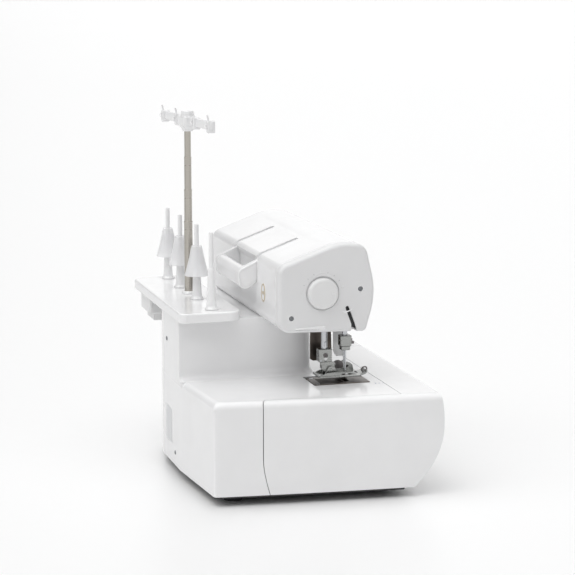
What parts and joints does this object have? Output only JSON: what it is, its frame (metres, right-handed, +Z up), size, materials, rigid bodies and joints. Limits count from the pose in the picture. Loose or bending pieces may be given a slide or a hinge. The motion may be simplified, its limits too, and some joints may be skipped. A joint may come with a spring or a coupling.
{
  "type": "serger overlock machine",
  "caption": "Free-standing serger: bed with hinged covers, column and arm over a sewing throat, thread tray with spool pins, and a telescoping thread antenna with a guide bar.",
  "frame": {"origin": "middle of the bounding box on the floor", "axes": "+X to the user's right, towards the handwheel; -Y to the user in front; +Z up"},
  "size_m": [0.402, 0.2845, 0.4365],
  "materials": {
    "gloss_white": "glossy moulded ABS",
    "face_grey": "satin moulded ABS",
    "frosted": "translucent frosted polypropylene",
    "steel": "polished",
    "dark_steel": "dark polished",
    "cast_metal": "die cast",
    "dark_plastic": "moulded",
    "rubber": "moulded"
  },
  "bodies": {
    "machine": {"lower_casing": "gloss_white", "upper_casing": "gloss_white", "face_cover": "face_grey", "face_screw_1": "steel", "face_screw_2": "steel", "bottom_cover": "dark_plastic", "foot_1": "rubber", "foot_2": "rubber", "foot_3": "rubber", "foot_4": "rubber", "frame_casting": "cast_metal", "needle_plate": "dark_steel", "lower_knife": "dark_steel", "thread_tray": "gloss_white", "tray_bracket": "gloss_white", "spool_pin_1": "gloss_white", "spool_pin_2": "gloss_white", "spool_pin_3": "gloss_white", "spool_pin_4": "gloss_white", "antenna_tube_1": "steel", "handle_pin_left": "dark_steel", "handle_pin_right": "dark_steel", "presser_spring": "steel", "motor": "cast_metal", "drive_belt": "rubber", "power_inlet": "dark_plastic"},
    "side_cover": {"side_cover": "gloss_white"},
    "looper_cover": {"looper_cover": "gloss_white"},
    "carry_handle": {"carry_handle": "gloss_white"},
    "antenna_2": {"antenna_tube_2": "steel"},
    "antenna_3": {"antenna_tube_3": "steel"},
    "antenna_4": {"antenna_tube_4": "steel"},
    "guide_bar": {"thread_guide_bar": "gloss_white"},
    "cone_2": {"cone_holder_2": "frosted"},
    "cone_3": {"cone_holder_3": "frosted"},
    "cone_4": {"cone_holder_4": "frosted"},
    "pressure_dial": {"pressure_dial": "gloss_white"},
    "lifter": {"lifter_lever": "dark_plastic"},
    "presser": {"presser_bar": "steel", "presser_ankle": "steel"},
    "foot": {"presser_foot": "dark_steel"},
    "needle_bar": {"needle_bar": "steel", "needle_clamp": "steel", "needle_1": "steel", "needle_2": "steel"},
    "upper_looper": {"upper_looper": "steel"},
    "lower_looper": {"lower_looper": "steel"},
    "upper_knife": {"upper_knife": "dark_steel"},
    "feed_dog": {"feed_dog": "dark_steel"},
    "main_shaft": {"main_shaft": "steel", "shaft_pulley": "cast_metal", "handwheel": "face_grey"},
    "motor_rotor": {"motor_pulley": "cast_metal"},
    "stitch_length": {"stitch_length_dial": "face_grey"},
    "differential": {"differential_dial": "face_grey"},
    "power_switch": {"power_switch": "dark_plastic"},
    "tension_1": {"tension_dial_1": "face_grey"},
    "tension_2": {"tension_dial_2": "face_grey"},
    "tension_3": {"tension_dial_3": "face_grey"},
    "tension_4": {"tension_dial_4": "face_grey"}
  },
  "joints": [
    {"name": "side_cover_swing", "type": "hinge", "parent": "machine", "child": "side_cover", "pos_m": [-0.18265, 0.07175, 0.062], "axis": [0, 0, -1], "range_deg": [0, 95]},
    {"name": "looper_cover_tip", "type": "hinge", "parent": "machine", "child": "looper_cover", "pos_m": [-0.056, -0.10325, 0.017], "axis": [1, 0, 0], "range_deg": [0, 62]},
    {"name": "carry_handle_lift", "type": "hinge", "parent": "machine", "child": "carry_handle", "pos_m": [0.008, -0.00305, 0.2778], "axis": [1, 0, 0], "range_deg": [0, 120]},
    {"name": "antenna_slide_2", "type": "slide", "parent": "machine", "child": "antenna_2", "axis": [0, 0, 1], "range_m": [-0.036, 0]},
    {"name": "antenna_slide_3", "type": "slide", "parent": "antenna_2", "child": "antenna_3", "axis": [0, 0, 1], "range_m": [-0.036, 0]},
    {"name": "antenna_slide_4", "type": "slide", "parent": "antenna_3", "child": "antenna_4", "axis": [0, 0, 1], "range_m": [-0.026, 0]},
    {"name": "guide_bar_turn", "type": "hinge", "parent": "antenna_4", "child": "guide_bar", "pos_m": [0.066, 0.09835, 0.417], "axis": [0, 0, 1], "range_deg": [-80, 80]},
    {"name": "cone_lift_2", "type": "slide", "parent": "machine", "child": "cone_2", "axis": [0, 0, 1], "range_m": [0, 0.055]},
    {"name": "cone_lift_3", "type": "slide", "parent": "machine", "child": "cone_3", "axis": [0, 0, 1], "range_m": [0, 0.055]},
    {"name": "cone_lift_4", "type": "slide", "parent": "machine", "child": "cone_4", "axis": [0, 0, 1], "range_m": [0, 0.055]},
    {"name": "pressure_dial_turn", "type": "hinge", "parent": "machine", "child": "pressure_dial", "pos_m": [-0.143, -0.01075, 0.237], "axis": [1, 0, 0], "range_deg": [0, 300]},
    {"name": "lifter_turn", "type": "hinge", "parent": "machine", "child": "lifter", "pos_m": [-0.068, -0.02725, 0.1985], "axis": [1, 0, 0], "range_deg": [-45, 0]},
    {"name": "presser_lift", "type": "slide", "parent": "machine", "child": "presser", "axis": [0, 0, 1], "range_m": [-0.0035, 0]},
    {"name": "foot_tilt", "type": "hinge", "parent": "presser", "child": "foot", "pos_m": [-0.098, -0.03425, 0.137], "axis": [1, 0, 0], "range_deg": [-5, 5]},
    {"name": "needle_bar_drive", "type": "slide", "parent": "machine", "child": "needle_bar", "axis": [0, 0, 1], "range_m": [-0.0175, 0]},
    {"name": "upper_looper_swing", "type": "hinge", "parent": "machine", "child": "upper_looper", "pos_m": [-0.131, -0.06725, 0.062], "axis": [0, 1, 0], "range_deg": [-12, 12]},
    {"name": "lower_looper_swing", "type": "hinge", "parent": "machine", "child": "lower_looper", "pos_m": [-0.09, -0.07425, 0.057], "axis": [0, 1, 0], "range_deg": [-12, 12]},
    {"name": "upper_knife_swing", "type": "hinge", "parent": "machine", "child": "upper_knife", "pos_m": [-0.074, -0.03125, 0.082], "axis": [1, 0, 0], "range_deg": [-2, 12]},
    {"name": "feed_dog_travel", "type": "slide", "parent": "machine", "child": "feed_dog", "axis": [0, 1, 0], "range_m": [-0.0018, 0.0018]},
    {"name": "handwheel_spin", "type": "hinge", "parent": "machine", "child": "main_shaft", "pos_m": [0.074, 0.00075, 0.104], "axis": [1, 0, 0], "continuous": true},
    {"name": "motor_spin", "type": "hinge", "parent": "machine", "child": "motor_rotor", "pos_m": [0.124, 0.03875, 0.058], "axis": [1, 0, 0], "continuous": true},
    {"name": "stitch_length_turn", "type": "hinge", "parent": "machine", "child": "stitch_length", "pos_m": [0.176, -0.07625, 0.092], "axis": [1, 0, 0], "range_deg": [0, 270]},
    {"name": "differential_turn", "type": "hinge", "parent": "machine", "child": "differential", "pos_m": [0.176, -0.10825, 0.092], "axis": [1, 0, 0], "range_deg": [0, 270]},
    {"name": "power_switch_rock", "type": "hinge", "parent": "machine", "child": "power_switch", "pos_m": [0.173, -0.07625, 0.044], "axis": [0, 0, 1], "range_deg": [-6, 6]},
    {"name": "tension_turn_1", "type": "hinge", "parent": "machine", "child": "tension_1", "pos_m": [-0.033, -0.07825, 0.234], "axis": [0, -1, 0], "range_deg": [0, 300]},
    {"name": "tension_turn_2", "type": "hinge", "parent": "machine", "child": "tension_2", "pos_m": [0.008, -0.07825, 0.234], "axis": [0, -1, 0], "range_deg": [0, 300]},
    {"name": "tension_turn_3", "type": "hinge", "parent": "machine", "child": "tension_3", "pos_m": [0.049, -0.07825, 0.234], "axis": [0, -1, 0], "range_deg": [0, 300]},
    {"name": "tension_turn_4", "type": "hinge", "parent": "machine", "child": "tension_4", "pos_m": [0.09, -0.07825, 0.234], "axis": [0, -1, 0], "range_deg": [0, 300]}
  ],
  "couplings": [
    {"joint": "lifter_turn", "follows": "presser_lift", "rad_per_m": 224.39},
    {"joint": "motor_spin", "follows": "handwheel_spin", "ratio": 2.8889}
  ]
}
